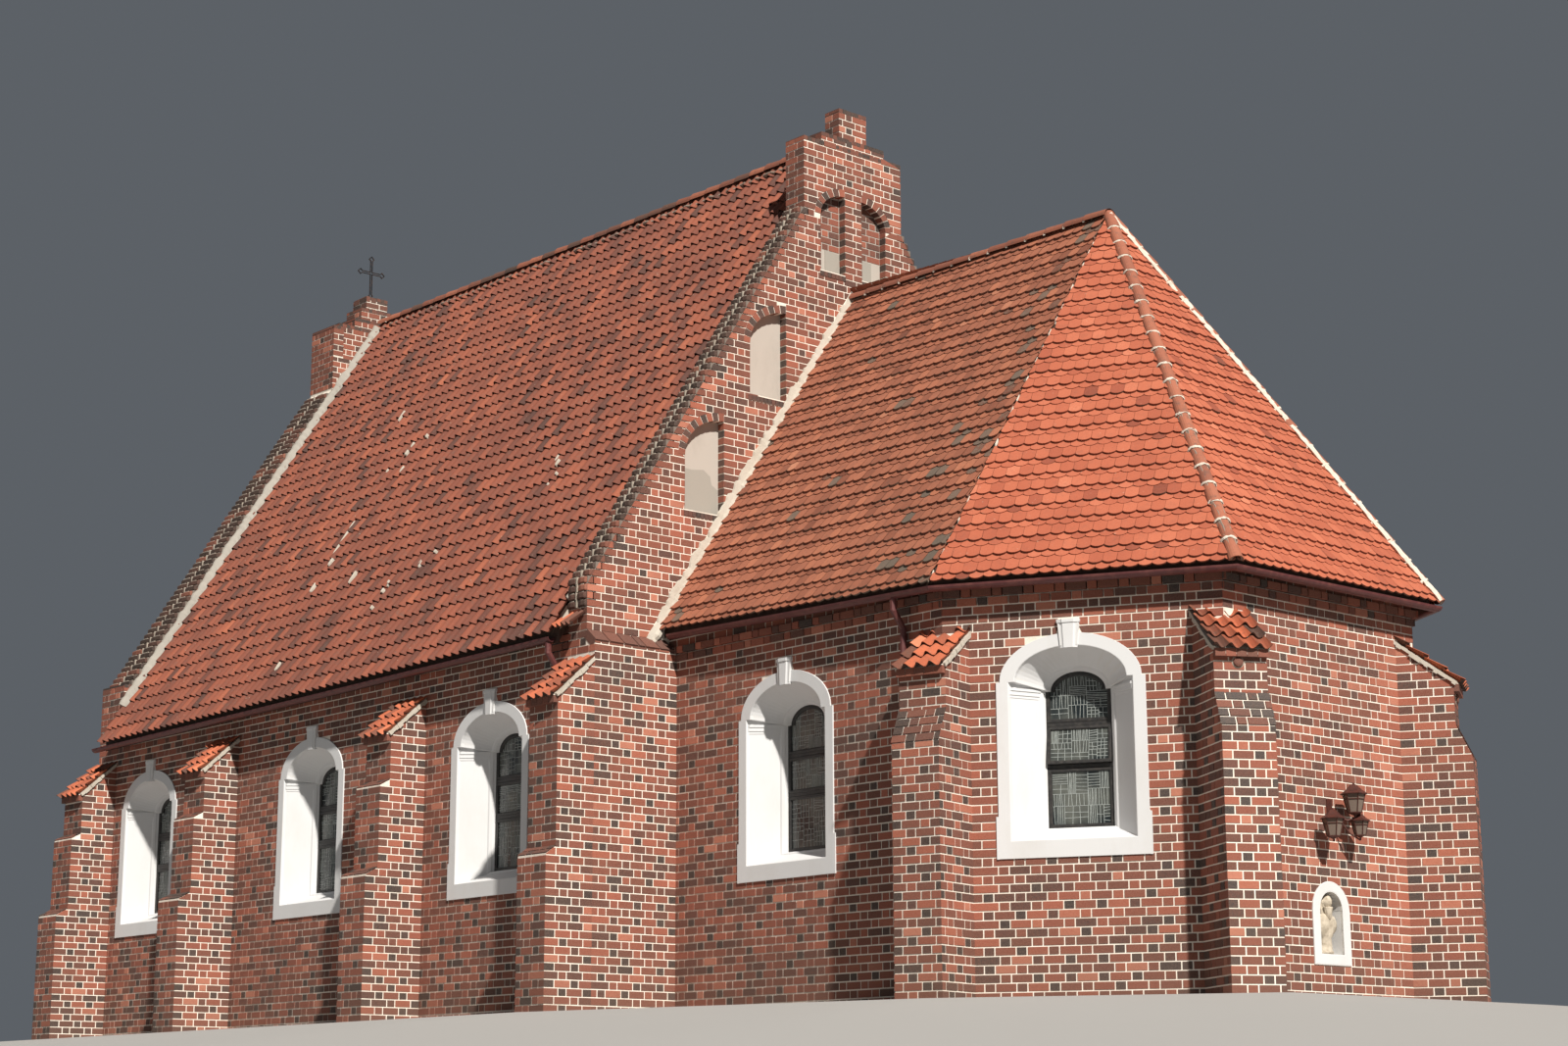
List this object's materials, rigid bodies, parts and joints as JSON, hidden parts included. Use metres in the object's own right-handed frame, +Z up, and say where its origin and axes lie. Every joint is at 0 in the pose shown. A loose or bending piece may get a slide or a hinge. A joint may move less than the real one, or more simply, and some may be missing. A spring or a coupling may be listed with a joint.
{
  "type": "brick village church",
  "caption": "Brick church with a steep gabled nave, lower chancel with polygonal east end, stepped gables, buttresses, arched windows and tiled roofs.",
  "frame": {"origin": "on the ground, on the long axis, below the east face of the nave (the face that the chancel meets)", "axes": "+X east along the long axis, +Y north, +Z up"},
  "size_m": [22.9295, 11.956, 14.9223],
  "materials": {
    "brick": "matte",
    "roof_tile": "matte",
    "floor": "matte",
    "window_glass": "gloss",
    "gutter_metal": "satin",
    "door_wood": "satin",
    "cross_iron": "satin",
    "lantern_metal": "satin",
    "bust_stone": "matte"
  },
  "bodies": {
    "root": {"chancel_arch_wall": "brick", "chancel_buttress_north": "brick", "chancel_buttress_northeast": "brick", "chancel_buttress_south": "brick", "chancel_buttress_southeast": "brick", "chancel_east_wall": "brick", "chancel_gutter": "gutter_metal", "chancel_north_wall": "brick", "chancel_northeast_wall": "brick", "chancel_ridge_and_hips": "roof_tile", "chancel_roof_east": "roof_tile", "chancel_roof_north": "roof_tile", "chancel_roof_northeast": "roof_tile", "chancel_roof_south": "roof_tile", "chancel_roof_southeast": "roof_tile", "chancel_south_wall": "brick", "chancel_southeast_wall": "brick", "chancel_window_north": "window_glass", "chancel_window_northeast": "window_glass", "chancel_window_south": "window_glass", "chancel_window_southeast": "window_glass", "east_gable": "brick", "floor": "floor", "iron_cross": "cross_iron", "nave_buttress_north_1": "brick", "nave_buttress_north_2": "brick", "nave_buttress_north_3": "brick", "nave_buttress_north_4": "brick", "nave_buttress_south_1": "brick", "nave_buttress_south_2": "brick", "nave_buttress_south_3": "brick", "nave_buttress_south_4": "brick", "nave_gutter_north": "gutter_metal", "nave_gutter_south": "gutter_metal", "nave_north_wall": "brick", "nave_ridge": "roof_tile", "nave_roof_north": "roof_tile", "nave_roof_south": "roof_tile", "nave_south_wall": "brick", "nave_window_north_1": "window_glass", "nave_window_north_2": "window_glass", "nave_window_north_3": "window_glass", "nave_window_south_1": "window_glass", "nave_window_south_2": "window_glass", "nave_window_south_3": "window_glass", "niche_bust": "bust_stone", "wall_lantern": "lantern_metal", "west_door": "door_wood", "west_wall": "brick"}
  },
  "joints": []
}
